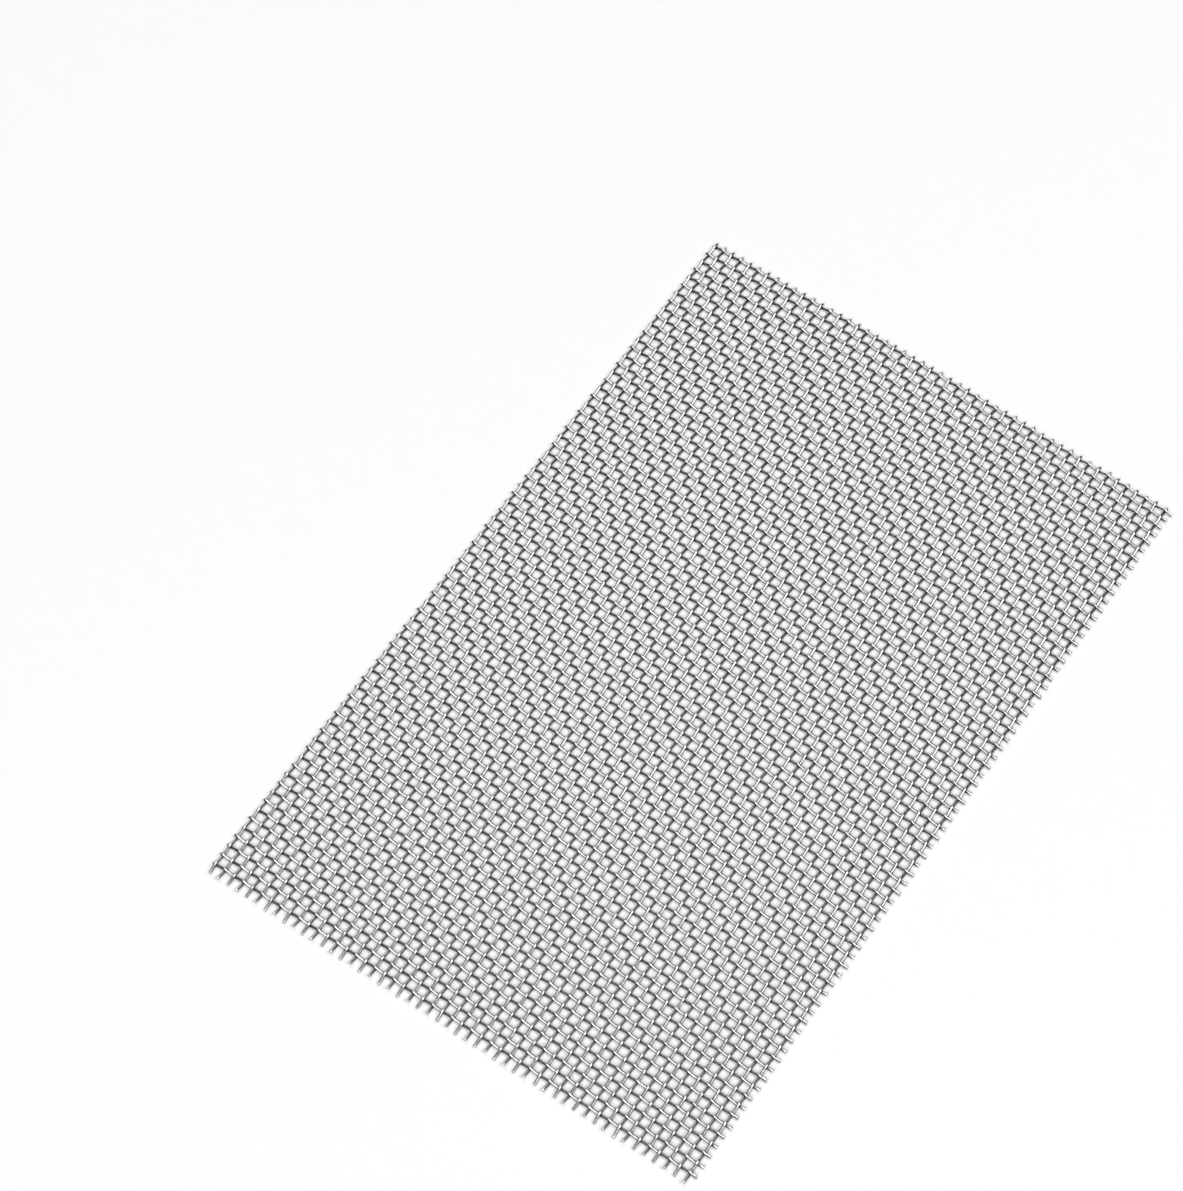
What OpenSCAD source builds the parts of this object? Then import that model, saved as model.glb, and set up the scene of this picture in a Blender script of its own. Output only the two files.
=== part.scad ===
// A sheet of woven wire gauze in plain weave, lying flat.
// X runs across the sheet, along the weft wires. Y runs along the warp wires. Z is up.
// The origin is under the middle of the sheet, on the surface that the sheet lies on.

/* [Sheet] */
// Width of the cut sheet, along the weft wires
sheet_w = 100; // [30:0.5:160]
// Length of the cut sheet, along the warp wires
sheet_l = 150.5; // [30:0.5:240]

/* [Mesh] */
// Diameter of the round wire
wire_d = 0.5; // [0.3:0.05:0.8]
// Clear opening between two neighbouring wires
aperture = 1.5; // [1.2:0.1:4]
// Clearance between a warp wire and a weft wire where they cross
cross_gap = 0.02; // [0.01:0.01:0.1]

/* [Cut ends] */
// Length of the weft ends past the first warp wire, on the left edge
left_end = 0.6; // [0.3:0.1:4]
// Length of the warp ends past the first weft wire, on the near edge
near_end = 2; // [0.3:0.1:4]
// Shortest end left past the last wire, on the right and far edges
min_end = 0.3; // [0.3:0.1:1]

/* [Hidden] */
$fn = 16;

// Distance from one wire to the next
pitch = wire_d + aperture;
// Number of warp wires across the width, and of weft wires along the length
n_warp = 1 + floor((sheet_w - left_end - min_end) / pitch);
n_weft = 1 + floor((sheet_l - near_end - min_end) / pitch);
// What is left of the sheet past the last wire
right_end = sheet_w - left_end - (n_warp - 1) * pitch;
far_end = sheet_l - near_end - (n_weft - 1) * pitch;

// Each wire rises and falls by the crimp, so that a wire passing over clears the one passing under.
// The crimp follows from two zigzag wires of this radius that just touch where they cross.
touch_r = (wire_d + cross_gap) / 2;
crimp = touch_r / sqrt(1 - 8 * pow(touch_r / pitch, 2));
slope = atan2(2 * crimp, pitch);
// Height of the woven sheet from the lowest crest to the highest
sheet_t = 2 * crimp + wire_d / cos(slope);

// Places of the first wires and of the sheet's middle layer
first_warp_x = left_end - sheet_w / 2;
first_weft_y = near_end - sheet_l / 2;
mid_z = sheet_t / 2;

// A run is cut out of a longer rod, which reaches past both of its mitres
rod_l = pitch / cos(slope) + 2 * wire_d;
steel = [0.74, 0.75, 0.77];

// Runs in a loose end, counting one that is cut short
function runs_past(end) = ceil(end / pitch - 0.001);

// One straight run of wire between crossings k and k + 1, cut upright from y = from to y = to
module run(k, from, to, rise) {
    intersection() {
        translate([0, (k + 0.5) * pitch, 0])
            rotate([rise * slope - 90, 0, 0])
                cylinder(d = wire_d, h = rod_l, center = true);
        translate([-wire_d, from, -sheet_t])
            cube([2 * wire_d, to - from, 2 * sheet_t]);
    }
}

// A crimped wire along +Y: its crossings lie a pitch apart from y = 0, and it passes over at every second one
module crimped_wire(starts_over, crossings, start_end, finish_end) {
    finish = (crossings - 1) * pitch + finish_end;
    for (k = [-runs_past(start_end) : crossings - 2 + runs_past(finish_end)]) {
        over = (abs(k) % 2 == 0) == starts_over;
        run(k, max(k * pitch, -start_end), min((k + 1) * pitch, finish), over ? -1 : 1);
    }
}

// Every second warp wire: the odd ones pass over the first weft wire, the even ones under it
module warp_wires(first) {
    for (i = [first : 2 : n_warp - 1])
        translate([first_warp_x + i * pitch, first_weft_y, mid_z])
            crimped_wire(i % 2 == 0, n_weft, near_end, far_end);
}

// Every second weft wire: the odd ones pass under the first warp wire, the even ones over it
module weft_wires(first) {
    for (j = [first : 2 : n_weft - 1])
        translate([first_warp_x, first_weft_y + j * pitch, mid_z])
            rotate([0, 0, -90])
                crimped_wire(j % 2 == 1, n_warp, left_end, right_end);
}

module warp_wires_odd() {
    color(steel) warp_wires(0);
}

module warp_wires_even() {
    color(steel) warp_wires(1);
}

module weft_wires_odd() {
    color(steel) weft_wires(0);
}

module weft_wires_even() {
    color(steel) weft_wires(1);
}

warp_wires_odd();
warp_wires_even();
weft_wires_odd();
weft_wires_even();
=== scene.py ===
# %% [markdown]
# # A sheet of wire gauze
#
# Wire gauze is cloth made of metal. Straight wires are strung along a loom, and a second set is
# woven across them, over one and under the next. That is plain weave, the same as in a tea towel.
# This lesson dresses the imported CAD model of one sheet: 50 long wires, 75 cross wires, and nothing
# else. The CAD solids have the right place and size, but each is a zigzag of straight runs. Here
# every wire gets its smooth crimp, its sheared ends, the small unevenness of real cloth and a
# drawn steel finish.

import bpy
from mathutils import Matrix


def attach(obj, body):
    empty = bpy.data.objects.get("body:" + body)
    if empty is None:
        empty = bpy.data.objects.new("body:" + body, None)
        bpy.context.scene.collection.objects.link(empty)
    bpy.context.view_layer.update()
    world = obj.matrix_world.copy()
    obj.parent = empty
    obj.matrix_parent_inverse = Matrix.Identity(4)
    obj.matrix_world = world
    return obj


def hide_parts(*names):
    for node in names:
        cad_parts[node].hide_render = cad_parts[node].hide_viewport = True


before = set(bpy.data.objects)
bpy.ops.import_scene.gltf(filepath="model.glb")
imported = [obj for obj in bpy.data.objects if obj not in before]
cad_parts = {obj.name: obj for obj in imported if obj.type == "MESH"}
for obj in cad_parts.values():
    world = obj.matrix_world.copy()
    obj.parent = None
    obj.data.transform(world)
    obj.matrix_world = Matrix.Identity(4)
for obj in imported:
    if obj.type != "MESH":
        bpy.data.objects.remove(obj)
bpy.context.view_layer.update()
print("CAD nodes:", ", ".join(sorted(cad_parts)))

# %% [markdown]
# ## The camera
#
# The sheet is seen from above its near right corner, with a long lens that hardly narrows it
# towards the back. The direction was worked out by counting wires along two edges and asking which
# camera puts the first and last of them where the photograph has them. The camera is also rolled
# by a few degrees. A roll is a turn about the line of sight, so it is multiplied on last.

# %% Set up the camera
from math import asin, atan, atan2, copysign, cos, exp, hypot, pi, radians, sin, sqrt, tau
import bpy
from mathutils import Matrix, Vector

scene = bpy.context.scene
camera_turn = radians(-48.68)
camera_height = radians(62.05)
camera_roll = radians(-6.88)
camera_reach = 0.6694
looked_at = Vector((-0.0260, 0.0045, 0))
film_width = 36
picture_rows = 1191
focal_rows = 3814.5

towards_camera = Vector((
    cos(camera_height) * cos(camera_turn),
    cos(camera_height) * sin(camera_turn),
    sin(camera_height),
))
lens = bpy.data.cameras.new("camera")
lens.sensor_width = film_width
lens.lens = focal_rows * film_width / picture_rows
lens.clip_start = 0.01
camera = bpy.data.objects.new("camera", lens)
scene.collection.objects.link(camera)
camera.matrix_world = (
    Matrix.Translation(looked_at + towards_camera * camera_reach)
    @ (-towards_camera).to_track_quat("-Z", "Y").to_matrix().to_4x4()
    @ Matrix.Rotation(camera_roll, 4, "Z")
)
scene.camera = camera
print("camera at", [round(1000 * c) for c in camera.location], "mm, lens", round(lens.lens, 1), "mm")

# %% [markdown]
# ## Writing shaders as sums
#
# A shader is a graph of nodes, and even a short sum takes several of them. The class below wraps
# one socket of that graph, so that a sum can be written as a sum: Python calls __mul__ for a star,
# and that adds a Math node. The reflected forms, such as __rsub__, are for sums that start with a
# plain number. Every other node comes from one method, which sets the node up before it feeds it.

# %% A socket that can be added and multiplied
class Shade:
    """One output of a shader graph, or the bare graph."""

    def __init__(self, tree, socket=None):
        self.tree = tree
        self.socket = socket

    def node(self, kind, settings=None, fed=None, output=0):
        """Adds a node, sets it up, feeds its sockets, and returns one of its outputs."""
        made = self.tree.nodes.new(kind)
        for name, setting in (settings or {}).items():
            setattr(made, name, setting)
        for name, value in (fed or {}).items():
            if isinstance(value, Shade):
                self.tree.links.new(value.socket, made.inputs[name])
            else:
                made.inputs[name].default_value = value
        return Shade(self.tree, made.outputs[output])

    def maths(self, operation, first, second):
        return self.node("ShaderNodeMath", {"operation": operation}, {0: first, 1: second})

    def __add__(self, other):
        return self.maths("ADD", self, other)

    def __radd__(self, other):
        return self.maths("ADD", other, self)

    def __sub__(self, other):
        return self.maths("SUBTRACT", self, other)

    def __rsub__(self, other):
        return self.maths("SUBTRACT", other, self)

    def __mul__(self, other):
        return self.maths("MULTIPLY", self, other)

    def __rmul__(self, other):
        return self.maths("MULTIPLY", other, self)


print("shader sums are ready")

# %% [markdown]
# ## The floor
#
# The sheet lies on a plain white floor that runs out of the picture on every side. Even white paper
# swallows a little light, so it would render as a pale grey. A touch of emission makes up for that,
# but only for what looks at the floor: the camera, and rays that come back from the wires. It is
# kept small, because it also lightens shadows, and the shadow under the sheet has to stay.

# %% Lay the floor
import bmesh

looking_rays = ("Is Camera Ray", "Is Glossy Ray", "Is Transmission Ray")
floor_lift = 0.04
floor_white = 0.97
floor_radius = 8


def looks_at_it(graph):
    """1 for a ray that looks at a thing, and 0 for one that carries light from it."""
    seen_by = [graph.node("ShaderNodeLightPath", output=name) for name in looking_rays]
    return seen_by[0] + seen_by[1] + seen_by[2]


def mixed(graph, share, first, second):
    """A colour that goes from the first to the second as the share goes from 0 to 1."""
    return graph.node("ShaderNodeMixRGB", {"blend_type": "MIX"}, {0: share, 1: first, 2: second})


paper = bpy.data.materials.new("white_paper_floor")
paper.use_nodes = True
graph = Shade(paper.node_tree)
surface = paper.node_tree.nodes["Principled BSDF"]
surface.inputs["Base Color"].default_value = (floor_white, floor_white, floor_white, 1)
surface.inputs["Roughness"].default_value = 0.9
surface.inputs["Specular IOR Level"].default_value = 0.1
lift = mixed(graph, looks_at_it(graph), (0, 0, 0, 1), (floor_lift, floor_lift, floor_lift, 1))
paper.node_tree.links.new(lift.socket, surface.inputs["Emission Color"])
surface.inputs["Emission Strength"].default_value = 1

floor_bm = bmesh.new()
bmesh.ops.create_circle(floor_bm, cap_ends=True, segments=64, radius=floor_radius)
floor_mesh = bpy.data.meshes.new("floor")
floor_bm.to_mesh(floor_mesh)
floor_bm.free()
floor_mesh.materials.append(paper)
floor = bpy.data.objects.new("floor", floor_mesh)
scene.collection.objects.link(floor)
print("floor of", len(floor_mesh.polygons), "face")

# %% [markdown]
# ## Light
#
# Bright metal shows what is around it, so the light is mostly a matter of what the wires mirror.
# Four soft boxes stand well away from the sheet: two strong ones on the right and in front, and two
# weaker ones behind, half way up and nearly overhead. The ones behind whiten the top of every
# crimp, and the others its right and near slopes. What faces none of them mirrors the room, which
# is dark, and that leaves a dark slope beside each white one. One big lamp overhead would make all
# slopes alike. Only the lowest part of the room looks white, as a sheet of paper behind the floor
# would, and it throws no light.

# %% Set up the soft boxes
def soft_box(name, turn, climb, power, side=1.5, reach=3.0):
    """A square lamp in this direction, in degrees from +X and from the floor, which faces the sheet."""
    lamp = bpy.data.lights.new(name, "AREA")
    lamp.shape = "SQUARE"
    lamp.size = side
    lamp.energy = power
    level = reach * cos(radians(climb))
    place = Vector((level * cos(radians(turn)), level * sin(radians(turn)), reach * sin(radians(climb))))
    box = bpy.data.objects.new(name, lamp)
    scene.collection.objects.link(box)
    box.matrix_world = Matrix.Translation(place) @ place.to_track_quat("Z", "Y").to_matrix().to_4x4()


soft_box("right_box", turn=11, climb=52, power=40.2)
soft_box("front_box", turn=278, climb=47, power=40.2)
soft_box("back_box", turn=131, climb=55, power=14.0)
soft_box("top_box", turn=131, climb=80, power=20.1)

# %% Darken the room
room_level = 0.02
white_up_to = 0.16
dark_from = 0.30


def fade_in(graph, value, low, high):
    """0 below the low mark, 1 above the high one, and a soft step between."""
    return graph.node("ShaderNodeMapRange", {"interpolation_type": "SMOOTHSTEP"}, {
        "Value": value,
        "From Min": low,
        "From Max": high,
        "To Min": 0,
        "To Max": 1,
    })


room = bpy.data.worlds.new("room")
scene.world = room
room.use_nodes = True
graph = Shade(room.node_tree)
direction = graph.node("ShaderNodeTexCoord", output="Generated")
height = graph.node("ShaderNodeSeparateXYZ", fed={0: direction}, output="Z")
backdrop = 1 - fade_in(graph, height, white_up_to, dark_from)
glow = room_level + looks_at_it(graph) * backdrop * (1 - room_level)
room.node_tree.links.new(glow.socket, room.node_tree.nodes["Background"].inputs["Strength"])
room.node_tree.nodes["Background"].inputs["Color"].default_value = (1, 1, 1, 1)
scene.view_settings.view_transform = "Standard"
white_degrees, dark_degrees = [round(asin(mark) * 180 / pi) for mark in (white_up_to, dark_from)]
print("the room is white up to", white_degrees, "degrees and dark from", dark_degrees)

# %% [markdown]
# ## One wave of wire
#
# On the loom each wire is pressed against the ones that it crosses, and it keeps that bend when the
# sheet is cut. So its path is a row of short bends, over and under, with straight runs between. A
# sine curve would be simpler, but its bends are too lazy for hard wire. Here a circle, the section
# of the wire, is spun up through the first bend, pulled along the straight run, and spun back
# through the next one. The mirror makes the way down. It is taken about the origin, so the half wave
# is moved there first and back again after. The numbers are in millimetres until a piece is done,
# because Blender's bevel is unsure of itself on edges of a tenth of a millimetre.

# %% Work out the crimp
wire_d = 0.5
pitch = 2.0
cross_gap = 0.02
crimp = (wire_d + cross_gap) / 2
bend_r = 1.0
centres_apart = hypot(pitch, 2 * bend_r - 2 * crimp)
slope = asin(2 * bend_r / centres_apart) - atan((2 * bend_r - 2 * crimp) / pitch)
print("each wire rises", 2 * crimp, "mm at", round(slope * 180 / pi, 1), "degrees")

# %% Spin, pull and mirror one wave
wire_sides = 16
merge_within = 1e-4


def only(kind, geometry):
    return [part for part in geometry if isinstance(part, kind)]


def wave_of_wire():
    """Wire along +Y, two crossings long: under at y = 0, over at y = pitch, and under again."""
    wave = bmesh.new()
    upright = Matrix.Translation((0, 0, -crimp)) @ Matrix.Rotation(radians(90), 4, "X")
    bmesh.ops.create_circle(wave, segments=wire_sides, radius=wire_d / 2, matrix=upright)
    low_bend = bmesh.ops.spin(
        wave, geom=wave.edges[:], cent=(0, 0, bend_r - crimp), axis=(1, 0, 0), angle=slope, steps=1)
    rim = only(bmesh.types.BMEdge, low_bend["geom_last"])
    pulled = bmesh.ops.extrude_edge_only(wave, edges=rim)["geom"]
    far_ring = only(bmesh.types.BMVert, pulled)
    run = pitch - 2 * bend_r * sin(slope)
    rise = 2 * crimp - 2 * bend_r * (1 - cos(slope))
    bmesh.ops.translate(wave, verts=far_ring, vec=(0, run, rise))
    rim = [e for e in only(bmesh.types.BMEdge, pulled) if all(v in far_ring for v in e.verts)]
    bmesh.ops.spin(
        wave, geom=rim, cent=(0, pitch, crimp - bend_r), axis=(1, 0, 0), angle=-slope, steps=1)
    bmesh.ops.translate(wave, verts=wave.verts, vec=(0, -pitch, 0))
    bmesh.ops.mirror(
        wave, geom=wave.verts[:] + wave.edges[:] + wave.faces[:],
        matrix=Matrix(), merge_dist=merge_within, axis="Y")
    bmesh.ops.translate(wave, verts=wave.verts, vec=(0, pitch, 0))
    return wave


wave = wave_of_wire()
print("one wave has", len(wave.faces), "faces")

# %% [markdown]
# ## A length of crimped wire
#
# All 125 wires have the same crimp, so one long length is made first, as if off a reel, and each
# wire is then cut from it. Copies of the wave are laid end to end, and the doubled rings where they
# meet are merged. The length also gets a UV map that works like a tape measure: U is the distance
# along the wire and V the distance round it, both in millimetres. The steel's fine drawn lines will
# follow that map through every bend.

# %% Lay waves end to end
waves = 41
round_wire = pi * wire_d
one_wave = wave.verts[:] + wave.edges[:] + wave.faces[:]
for n in range(1, waves):
    more = bmesh.ops.duplicate(wave, geom=one_wave)["geom"]
    bmesh.ops.translate(wave, verts=only(bmesh.types.BMVert, more), vec=(0, 2 * pitch * n, 0))
bmesh.ops.remove_doubles(wave, verts=wave.verts, dist=merge_within)
bmesh.ops.recalc_face_normals(wave, faces=wave.faces)
wave.normal_update()

tape = wave.loops.layers.uv.new("wire_tape")
for face in wave.faces:
    face.smooth = True
    side = atan2(face.normal.x, face.normal.z)
    for loop in face.loops:
        turn = atan2(loop.vert.normal.x, loop.vert.normal.z)
        turn += tau * round((side - turn) / tau)
        loop[tape].uv = (loop.vert.co.y, turn / tau * round_wire)
reel = bpy.data.meshes.new("wire_off_the_reel")
wave.to_mesh(reel)
wave.free()
print("the length of wire has", len(reel.polygons), "faces")

# %% [markdown]
# ## How the cloth is uneven
#
# No woven sheet is a perfect grid. This one was cut a little aslant at its far edge, so that it is
# longer on the left, and its far right corner has been pushed in. Its far left corner is drawn in
# too. On top of that each wire wanders by a few hundredths of a millimetre, and its free ends are
# splayed. One function moves the whole net, the same for both sets of wires, so wires that touch
# still touch. The wander of one wire comes from smooth noise, which is the same on every run.

# %% Move the net
from mathutils import noise

sheet_w = 100.0
sheet_l = 150.5
first_warp_x = -49.4
far_edge_y = 75
side_drawn_in = 0.35
corner_drawn_in = 0.4
far_edge_aslant = 1.3
far_edge_pushed_in = 1.25
pushed_in_from = 0.35
corner_fade_length = 3
push_fade_length = 3.5
slow_stray = 0.10
quick_stray = 0.05
slow_length = 23
quick_length = 5


def net_drift(x, y):
    """How far the weave lies from an even grid at this place, across and along, in mm."""
    right = min(max(x / sheet_w + 0.5, 0), 1)
    far = y / sheet_l + 0.5
    drawn_in = side_drawn_in * far * (1 - right) ** 2
    drawn_in += corner_drawn_in * far * far * exp(-(x - first_warp_x) / corner_fade_length)
    aslant = far_edge_aslant * far * sqrt(1 - right)
    pushed_in = far_edge_pushed_in * max(right - pushed_in_from, 0) / (1 - pushed_in_from)
    pushed_in *= exp(-max(far_edge_y - y, 0) / push_fade_length)
    return drawn_in, aslant - pushed_in


def wander(number, along):
    """How far one wire strays sideways at this distance along it, in mm."""
    slow = noise.noise((number * 3.7, along / slow_length, 1.3))
    quick = noise.noise((number * 5.3, along / quick_length, 7.9))
    return slow_stray * slow + quick_stray * quick


for place in ((-49, -74), (49, -74), (49, 74), (-49, 74)):
    print("drift at", place, [round(d, 2) for d in net_drift(*place)])

# %% [markdown]
# ## Cutting a wire
#
# A guillotine shears the sheet, so every wire ends in a flat face with a slightly broken rim, and
# no two ends are quite level. bisect_plane is the guillotine here: it cuts the length of wire and
# throws away what lies beyond. The open ends are filled, and a small bevel breaks the rim. The bevel
# needs room, so a cut keeps a tenth of a millimetre away from the ring of corners on a crest.

# %% Cut one wire to length
import random

ends = random.Random(41)
n_weft = 75
near_end = 2.0
far_end = 0.8
most_uneven = 0.12
most_lean = 0.15
clear_of_crest = 0.1
rim_bevel = 0.03


def cut_wire(starts_over, crossings, start_end, finish_end):
    """A wire along +Y with its first crossing at y = 0, cut at both ends."""
    wire = bmesh.new()
    wire.from_mesh(reel)
    first_crossing = 3 * pitch if starts_over else 4 * pitch
    bmesh.ops.translate(wire, verts=wire.verts, vec=(0, -first_crossing, 0))
    start = -start_end + ends.uniform(-most_uneven, most_uneven)
    finish = (crossings - 1) * pitch + finish_end + ends.uniform(-most_uneven, most_uneven)
    for at, outwards in ((start, -1), (finish, 1)):
        crest = pitch * round(at / pitch)
        if abs(at - crest) < clear_of_crest:
            at = crest + copysign(clear_of_crest, at - crest)
        lean = ends.uniform(-most_lean, most_lean)
        cut = bmesh.ops.bisect_plane(
            wire, geom=wire.verts[:] + wire.edges[:] + wire.faces[:], dist=merge_within,
            plane_co=(0, at, 0), plane_no=(lean, outwards, 0), clear_outer=True)
        rim = only(bmesh.types.BMEdge, cut["geom_cut"])
        bmesh.ops.edgeloop_fill(wire, edges=rim)
        bmesh.ops.bevel(
            wire, geom=rim, offset=rim_bevel, offset_type="OFFSET", segments=1, profile=0.5,
            affect="EDGES", material=-1)
    bmesh.ops.recalc_face_normals(wire, faces=wire.faces)
    return wire, start, finish


trial, start, finish = cut_wire(True, n_weft, near_end, far_end)
print("a long wire is", round(finish - start, 2), "mm, with", len(trial.faces), "faces")
trial.free()

# %% [markdown]
# ## Drawn steel
#
# The wire is stainless steel, pulled through a die. The die leaves fine lines along the wire. Its
# sides are painted a darker grey, a painted shade that stands in for the shadows and dark reflections
# on them. This painted shade is darkest on the sides near a crossing, where the other wire shades
# them, and that makes the square openings look round. The crests are painted brighter, a painted
# highlight. Streaky noise on the tape-measure map gives the lines. The same map's V, the way round
# the wire, tells a side from an outer face, and its U tells a crossing from an open stretch, because
# the crossings are one pitch apart. The height in the sheet finds the crests.

# %% Find the lines, the painted shade on the sides and the painted highlight on the crests
line_stretch = (0.4, 16, 1)
patch_stretch = (0.16, 0.5, 1)
mid_sheet = 0.52
# Height marks for the painted highlight on the crests.
crest_highlight_marks = (0.18, 0.50)
# Marks round the wire, from the crest, where the painted shade on the sides starts and becomes full.
side_shade_marks = (0.38, 0.85)
# Marks along the wire for the painted shade on the sides near a crossing.
crossing_shade_marks = (0.25, 0.65)


def streaks(graph, tape_map, stretch, detail):
    """Noise on the tape-measure map, drawn out along the wire."""
    drawn_out = graph.node("ShaderNodeVectorMath", {"operation": "MULTIPLY"}, {0: tape_map, 1: stretch})
    return graph.node("ShaderNodeTexNoise", {}, {"Vector": drawn_out, "Scale": 1, "Detail": detail}, "Fac")


def size_of(graph, value, wave=None):
    """The value without its sign, or its sine or cosine without a sign."""
    if wave:
        value = graph.node("ShaderNodeMath", {"operation": wave}, {0: value})
    return graph.node("ShaderNodeMath", {"operation": "ABSOLUTE"}, {0: value})


def highlight_and_shade(graph, tape_map, patches):
    """How bright the painted highlight on a crest is, and how dark the painted shade on the sides and near
    a crossing is, each from 0 to 1.
    """
    blotchy = (patches - 0.5) * 0.2
    place = graph.node("ShaderNodeTexCoord", output="Object")
    height = graph.node("ShaderNodeSeparateXYZ", fed={0: place}, output="Z")
    # Painted highlight: the higher a part of the wire stands in the sheet, the lighter it is painted.
    crest_highlight = fade_in(graph, size_of(graph, height * 1000 - mid_sheet), *crest_highlight_marks)
    round_it = graph.node("ShaderNodeSeparateXYZ", fed={0: tape_map}, output="Y") * (tau / round_wire)
    # Painted shade: the sides of the wire are painted darker than its top.
    side_shade = fade_in(graph, size_of(graph, round_it, "SINE") + blotchy, *side_shade_marks)
    along_it = graph.node("ShaderNodeSeparateXYZ", fed={0: tape_map}, output="X") * (pi / pitch)
    # Painted shade near a crossing: the sides are painted darkest where the other wire shades them.
    crossing_shade = fade_in(graph, size_of(graph, along_it, "COSINE") + blotchy, *crossing_shade_marks) * side_shade
    return crest_highlight, side_shade, crossing_shade


print("film starts", round(asin(side_shade_marks[0]) * 180 / pi), "degrees round from the crest")

# %% Mix the steel
dull_steel = (0.70, 0.705, 0.715, 1)
# A lighter steel, the painted highlight on the crests.
highlight_steel = (0.94, 0.943, 0.95, 1)
# A grey, the painted shade on the sides of the wire.
side_shade_grey = (0.20, 0.203, 0.209, 1)
# A near black, the painted shade on the sides near a crossing.
crossing_shade_grey = (0.035, 0.0355, 0.0365, 1)


def drawn_steel():
    """The one material of all the wires."""
    steel = bpy.data.materials.new("drawn_steel_wire")
    steel.use_nodes = True
    graph = Shade(steel.node_tree)
    metal = steel.node_tree.nodes["Principled BSDF"]
    metal.inputs["Metallic"].default_value = 1

    tape_map = graph.node("ShaderNodeUVMap", {"uv_map": "wire_tape"})
    lines = streaks(graph, tape_map, line_stretch, 2)
    patches = streaks(graph, tape_map, patch_stretch, 3)
    crest_highlight, side_shade, crossing_shade = highlight_and_shade(graph, tape_map, patches)
    tone = graph.node("ShaderNodeMapRange", {}, {
        "Value": crest_highlight * 0.6 + lines * 0.25 + patches * 0.3,
        "From Min": 0.1,
        "From Max": 1.0,
        "To Min": 0,
        "To Max": 1,
    })
    # The crests get their painted highlight, then the sides their painted shade, which is darkest near a
    # crossing.
    bright = mixed(graph, tone, dull_steel, highlight_steel)
    side_shaded = mixed(graph, side_shade, bright, side_shade_grey)
    colour = mixed(graph, crossing_shade, side_shaded, crossing_shade_grey)
    steel.node_tree.links.new(colour.socket, metal.inputs["Base Color"])
    rough = 0.26 + side_shade * 0.10 + crossing_shade * 0.10 - crest_highlight * 0.06
    rough = rough + (patches - 0.5) * 0.12 + (lines - 0.5) * 0.08
    steel.node_tree.links.new(rough.socket, metal.inputs["Roughness"])
    grooves = graph.node("ShaderNodeBump", {}, {"Height": lines, "Strength": 0.25, "Distance": 0.00001})
    steel.node_tree.links.new(grooves.socket, metal.inputs["Normal"])
    return steel


steel = drawn_steel()
print("the steel has", len(steel.node_tree.nodes), "nodes")

# %% [markdown]
# ## Weaving the sheet
#
# Plain weave has two kinds of wire in each direction, those that start over and those that start
# under, so the CAD model has four nodes, and four pieces replace them. A piece takes each of its
# wires in turn: cut it, lay it in its place, move it with the net, and join it to the rest. Each
# wire's tape measure is set apart from the others', so that no two have the same streaks, and it
# stops on the free ends, where no wire crosses. A second UV map lays the wires side by side like
# planks, so that a baked texture has room for each.

# %% Lay a wire in its place
first_weft_y = -73.25
mid_z = 0.51
most_splay = 0.10
loose_length = 1.2
weft_noise_from = 200


def lay(wire, number, finish, across):
    """Lays a cut wire in its place in the sheet and gives it its wander, in mm."""
    if across:
        place = Matrix.Translation((first_warp_x, first_weft_y + number * pitch, mid_z))
        place = place @ Matrix.Rotation(radians(-90), 4, "Z")
    else:
        place = Matrix.Translation((first_warp_x + number * pitch, first_weft_y, mid_z))
    splay = [ends.uniform(-most_splay, most_splay), ends.uniform(-most_splay, most_splay)]
    for vert in wire.verts:
        along = vert.co.y
        loose = splay[0] * max(-along, 0) / pitch
        loose += splay[1] * max(along - finish + loose_length, 0) / pitch
        vert.co.x += wander(number + weft_noise_from * across, along) + loose
    bmesh.ops.transform(wire, matrix=place, verts=wire.verts)
    for vert in wire.verts:
        shift_x, shift_y = net_drift(vert.co.x, vert.co.y)
        vert.co.x += shift_x
        vert.co.y += shift_y


print("the first wires cross at", (first_warp_x, first_weft_y), "mm,", mid_z, "mm up")

# %% Number a wire's maps
facing_end = 0.6
tapes_apart = 7
end_room = 0.6
plank_margin = 1
plank_filled = 0.9


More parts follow.
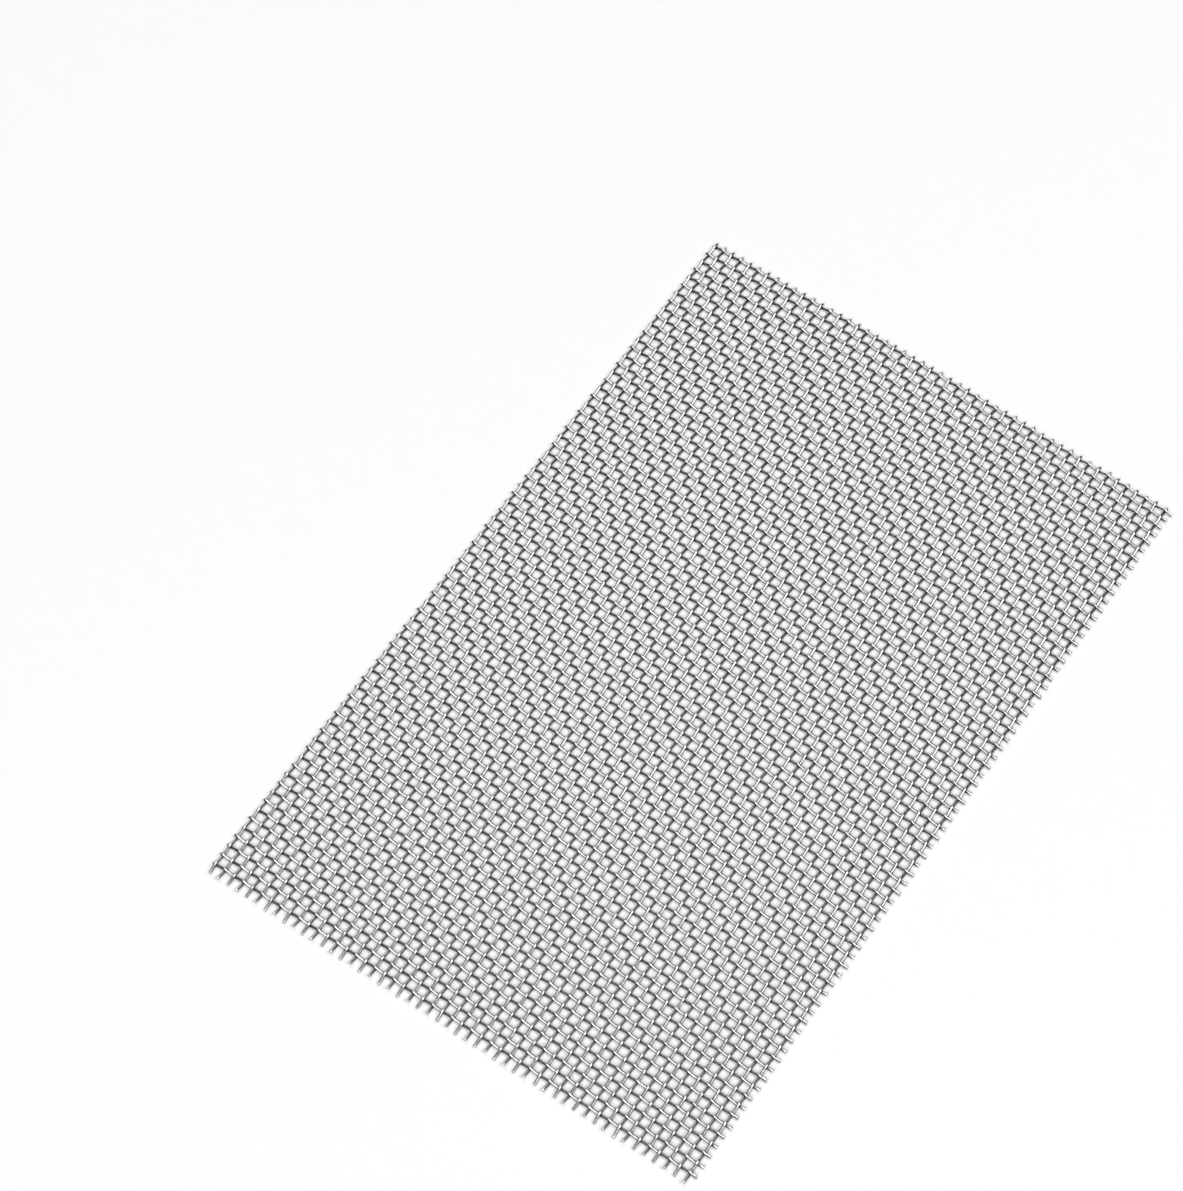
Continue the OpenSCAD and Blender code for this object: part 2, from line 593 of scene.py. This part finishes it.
def number_maps(wire, number, row, rows, cuts, start, finish):
    """Gives a wire its own stretch of tape measure, and planks to bake on."""
    tape = wire.loops.layers.uv["wire_tape"]
    planks = wire.loops.layers.uv.new("OFBake")
    plank = waves * 2 * pitch / cuts
    last_crossing = pitch * int(finish / pitch)
    for face in wire.faces:
        end_face = abs(face.normal.y) > facing_end
        middle = face.calc_center_median().y
        piece_of_it = min(int((middle - start + plank_margin) / plank), cuts - 1)
        for loop in face.loops:
            aside, along, up = loop.vert.co
            place = along
            if end_face:
                loop[tape].uv = (middle + aside, up)
                place = (start - end_room if middle < 0 else finish + end_room) + aside
            u = (place - start + plank_margin - piece_of_it * plank) / plank
            v = 0.5 + plank_filled * loop[tape].uv.y / round_wire
            loop[planks].uv = (u, (row * cuts + piece_of_it + v) / (rows * cuts))
            loop[tape].uv.x -= along - min(max(along, -pitch / 2), last_crossing + pitch / 2)
            loop[tape].uv.y += tapes_apart * round_wire * number


print("a wire's tape starts", round(tapes_apart * round_wire, 2), "mm from its neighbour's")

# %% Weave the four pieces
n_warp = 50
left_end = 0.6
right_end = 1.4
metres_in_mm = 0.001


def woven(node, first, across):
    """All the wires of one node as one piece."""
    piece = bpy.data.meshes.new(node + "_crimped")
    cloth = bmesh.new()
    count = n_weft if across else n_warp
    numbers = range(first, count, 2)
    for row, number in enumerate(numbers):
        if across:
            wire, start, finish = cut_wire(number % 2 == 1, n_warp, left_end, right_end)
        else:
            wire, start, finish = cut_wire(number % 2 == 0, n_weft, near_end, far_end)
        number_maps(wire, number, row, len(numbers), 1 if across else 2, start, finish)
        lay(wire, number, finish, across)
        wire.to_mesh(piece)
        wire.free()
        cloth.from_mesh(piece)
    bmesh.ops.scale(cloth, vec=(metres_in_mm, metres_in_mm, metres_in_mm), verts=cloth.verts)
    cloth.to_mesh(piece)
    cloth.free()
    piece.materials.append(steel)
    thing = bpy.data.objects.new(node + "_crimped", piece)
    scene.collection.objects.link(thing)
    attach(thing, "root")
    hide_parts(node)
    triangles = sum(len(face.vertices) - 2 for face in piece.polygons)
    print(node, "has", len(numbers), "wires and", triangles, "triangles")


woven("warp_wires_odd", 0, False)
woven("warp_wires_even", 1, False)
woven("weft_wires_odd", 0, True)
woven("weft_wires_even", 1, True)
bpy.data.meshes.remove(reel)
